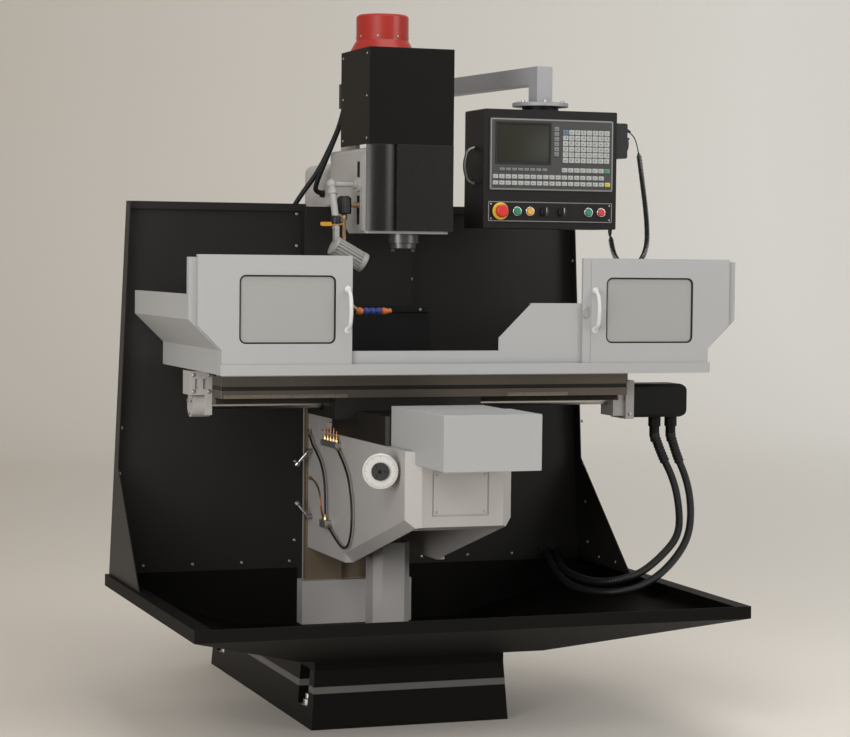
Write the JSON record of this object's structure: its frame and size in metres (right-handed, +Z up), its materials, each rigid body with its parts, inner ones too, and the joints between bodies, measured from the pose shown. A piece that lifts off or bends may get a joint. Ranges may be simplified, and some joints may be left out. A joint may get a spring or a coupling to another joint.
{
  "type": "vertical cnc milling machine",
  "caption": "Knee-type vertical milling machine with a covered fixed head, a table guard with sliding windowed doors, a drip tray and a swinging control box.",
  "frame": {"origin": "on the floor under the machine's centreline, 430.5 mm in front of the centre of the four anchor bolts", "axes": "+X to the operator's right along the table, +Y from the operator to the back, +Z up"},
  "size_m": [1.9098, 2.0443, 2.278],
  "materials": {
    "cast_black": "satin black paint on cast iron",
    "cast_grey": "warm light grey machine enamel on cast iron",
    "sheet_black": "textured satin black powder coat",
    "guard_grey": "cool light grey powder coat",
    "arm_grey": "grey enamel",
    "ground_iron": "ground and oiled cast iron",
    "dark_iron": "dark oiled cast iron",
    "ground_steel": "ground steel",
    "cowl_red": "gloss red enamel",
    "motor_dark": "matt dark grey paint",
    "servo_black": "matt black paint",
    "rubber_black": "matt",
    "cable_black": "satin cable sheath",
    "window_clear": "translucent polycarbonate sheet",
    "box_black": "fine textured black powder coat",
    "unit_grey": "dark grey moulded bezel with light grey keys",
    "key_red": "gloss",
    "key_green": "gloss",
    "key_yellow": "gloss",
    "knob_black": "matt",
    "lamp_grey": "satin grey",
    "copper_line": "copper and brass fittings, black hose",
    "hose_plastic": "orange and blue jointed plastic on a bronze pipe",
    "cabinet_grey": "light grey powder coat",
    "dial_steel": "satin chromed ring with a black claw hub"
  },
  "bodies": {
    "column": {"base": "cast_black", "column": "cast_grey", "screw_pedestal": "cast_grey", "drip_tray": "sheet_black", "back_panel_left": "sheet_black", "back_panel_right": "sheet_black", "way_curtain": "rubber_black", "overarm": "cast_grey", "head_casting": "cast_grey", "head_upper_cover": "sheet_black", "head_lower_cover": "sheet_black", "spindle_motor": "motor_dark", "fan_cowl": "cowl_red", "conduits": "cable_black", "coolant_hose": "hose_plastic", "electrical_cabinet": "cabinet_grey", "drive_belt": "rubber_black"},
    "cabinet_door": {"cabinet_door": "cabinet_grey"},
    "control_arm": {"control_arm": "arm_grey"},
    "lamp_arm": {"lamp_arm": "lamp_grey"},
    "lamp_head": {"lamp_head": "lamp_grey"},
    "quill": {"quill": "ground_steel"},
    "spindle": {"spindle": "ground_steel"},
    "spindle_pulley": {"spindle_pulley": "ground_steel"},
    "motor_rotor": {"motor_rotor": "ground_steel"},
    "knee": {"knee": "cast_grey", "y_hood": "guard_grey", "y_servo": "servo_black", "oil_lines": "copper_line"},
    "knee_dial": {"knee_dial": "dial_steel"},
    "lock_lever_upper": {"lock_lever_upper": "ground_steel"},
    "lock_lever_lower": {"lock_lever_lower": "ground_steel"},
    "y_screw": {"y_screw": "ground_steel"},
    "knee_screw": {"knee_screw": "ground_steel"},
    "saddle": {"saddle": "dark_iron", "saddle_cover": "guard_grey"},
    "table": {"table": "ground_iron", "screw_brackets": "cast_grey", "x_servo": "servo_black", "guard_pan": "guard_grey", "guard_ends": "guard_grey", "guard_front": "guard_grey", "x_servo_cables": "cable_black"},
    "x_screw": {"x_screw": "ground_steel"},
    "door_left": {"door_left": "guard_grey", "window_left": "window_clear"},
    "door_right": {"door_right": "guard_grey", "window_right": "window_clear"},
    "control_box": {"control_box": "box_black", "cnc_unit": "unit_grey", "handwheel_unit": "box_black", "curly_cord": "cable_black"},
    "hand_pulse_wheel": {"hand_pulse_wheel": "knob_black"},
    "estop": {"estop": "key_red"},
    "button_green_left": {"button_green_left": "key_green"},
    "button_yellow": {"button_yellow": "key_yellow"},
    "button_green_right": {"button_green_right": "key_green"},
    "button_red": {"button_red": "key_red"},
    "knob_left": {"knob_left": "knob_black"},
    "knob_right": {"knob_right": "knob_black"}
  },
  "joints": [
    {"name": "knee_z", "type": "slide", "parent": "column", "child": "knee", "axis": [0, 0, 1], "range_m": [-0.11, 0.14]},
    {"name": "saddle_y", "type": "slide", "parent": "knee", "child": "saddle", "axis": [0, 1, 0], "range_m": [-0.22, 0.03]},
    {"name": "table_x", "type": "slide", "parent": "saddle", "child": "table", "axis": [1, 0, 0], "range_m": [-0.45, 0.31], "deforming": ["x_servo_cables"]},
    {"name": "door_left_slide", "type": "slide", "parent": "table", "child": "door_left", "axis": [1, 0, 0], "range_m": [0, 0.38]},
    {"name": "door_right_slide", "type": "slide", "parent": "table", "child": "door_right", "axis": [-1, 0, 0], "range_m": [0, 0.38]},
    {"name": "x_screw_spin", "type": "hinge", "parent": "table", "child": "x_screw", "pos_m": [0, 0, 1.016], "axis": [1, 0, 0], "continuous": true},
    {"name": "y_screw_spin", "type": "hinge", "parent": "knee", "child": "y_screw", "pos_m": [0, 0, 0.945], "axis": [0, 1, 0], "continuous": true},
    {"name": "knee_screw_spin", "type": "hinge", "parent": "knee", "child": "knee_screw", "pos_m": [0, 0.045, 0.6], "axis": [0, 0, 1], "continuous": true},
    {"name": "knee_dial_spin", "type": "hinge", "parent": "knee", "child": "knee_dial", "pos_m": [-0.231, -0.565, 0.846], "axis": [0.3541, 0.9352, 0], "continuous": true},
    {"name": "lock_lever_upper", "type": "hinge", "parent": "knee", "child": "lock_lever_upper", "pos_m": [-0.17, 0.34, 0.833], "axis": [1, 0, 0], "range_deg": [-30, 30]},
    {"name": "lock_lever_lower", "type": "hinge", "parent": "knee", "child": "lock_lever_lower", "pos_m": [-0.17, 0.34, 0.612], "axis": [1, 0, 0], "range_deg": [-30, 30]},
    {"name": "quill_z", "type": "slide", "parent": "column", "child": "quill", "axis": [0, 0, 1], "range_m": [-0.127, 0]},
    {"name": "spindle_spin", "type": "hinge", "parent": "quill", "child": "spindle", "pos_m": [0, -0.07, 1.6], "axis": [0, 0, 1], "continuous": true},
    {"name": "pulley_spin", "type": "hinge", "parent": "column", "child": "spindle_pulley", "pos_m": [0, -0.07, 1.87], "axis": [0, 0, 1], "continuous": true},
    {"name": "rotor_spin", "type": "hinge", "parent": "column", "child": "motor_rotor", "pos_m": [0, 0.15, 1.9], "axis": [0, 0, 1], "continuous": true},
    {"name": "cabinet_door", "type": "hinge", "parent": "column", "child": "cabinet_door", "pos_m": [-0.338, 1.128, 1.096], "axis": [0, 0, 1], "range_deg": [0, 110]},
    {"name": "arm_swivel", "type": "hinge", "parent": "column", "child": "control_arm", "pos_m": [0.375, 0.96, 1.7], "axis": [0, 0, -1], "range_deg": [-55, 3]},
    {"name": "box_swivel", "type": "hinge", "parent": "control_arm", "child": "control_box", "pos_m": [0.492, -0.022, 1.98], "axis": [0, 0, 1], "range_deg": [-60, 60]},
    {"name": "lamp_arm", "type": "hinge", "parent": "column", "child": "lamp_arm", "pos_m": [-0.246, -0.094, 1.716], "axis": [-1, 0, 0], "range_deg": [0, 50]},
    {"name": "lamp_head", "type": "hinge", "parent": "lamp_arm", "child": "lamp_head", "pos_m": [-0.246, -0.144, 1.578], "axis": [0, 1, 0], "range_deg": [-20, 40]},
    {"name": "estop_push", "type": "slide", "parent": "control_box", "child": "estop", "axis": [0, 1, 0], "range_m": [0, 0.005], "stiffness_N_per_m": 900, "springref_m": -0.001},
    {"name": "green_left_push", "type": "slide", "parent": "control_box", "child": "button_green_left", "axis": [0, 1, 0], "range_m": [0, 0.005], "stiffness_N_per_m": 900, "springref_m": -0.001},
    {"name": "yellow_push", "type": "slide", "parent": "control_box", "child": "button_yellow", "axis": [0, 1, 0], "range_m": [0, 0.005], "stiffness_N_per_m": 900, "springref_m": -0.001},
    {"name": "green_right_push", "type": "slide", "parent": "control_box", "child": "button_green_right", "axis": [0, 1, 0], "range_m": [0, 0.005], "stiffness_N_per_m": 900, "springref_m": -0.001},
    {"name": "red_push", "type": "slide", "parent": "control_box", "child": "button_red", "axis": [0, 1, 0], "range_m": [0, 0.005], "stiffness_N_per_m": 900, "springref_m": -0.001},
    {"name": "knob_left_turn", "type": "hinge", "parent": "control_box", "child": "knob_left", "pos_m": [0.472, -0.13, 1.64], "axis": [0, 1, 0], "range_deg": [-60, 60]},
    {"name": "knob_right_turn", "type": "hinge", "parent": "control_box", "child": "knob_right", "pos_m": [0.534, -0.13, 1.64], "axis": [0, 1, 0], "range_deg": [-60, 60]},
    {"name": "pulse_wheel_spin", "type": "hinge", "parent": "control_box", "child": "hand_pulse_wheel", "pos_m": [0.77, -0.0675, 1.868], "axis": [1, 0, 0], "continuous": true}
  ],
  "couplings": [
    {"joint": "x_screw_spin", "follows": "table_x", "rad_per_m": 1256.6},
    {"joint": "y_screw_spin", "follows": "saddle_y", "rad_per_m": -1256.6},
    {"joint": "knee_screw_spin", "follows": "knee_z", "rad_per_m": 1256.6},
    {"joint": "knee_dial_spin", "follows": "knee_z", "rad_per_m": 1256.6},
    {"joint": "pulley_spin", "follows": "spindle_spin", "ratio": 1},
    {"joint": "rotor_spin", "follows": "spindle_spin", "ratio": 1.3333}
  ]
}
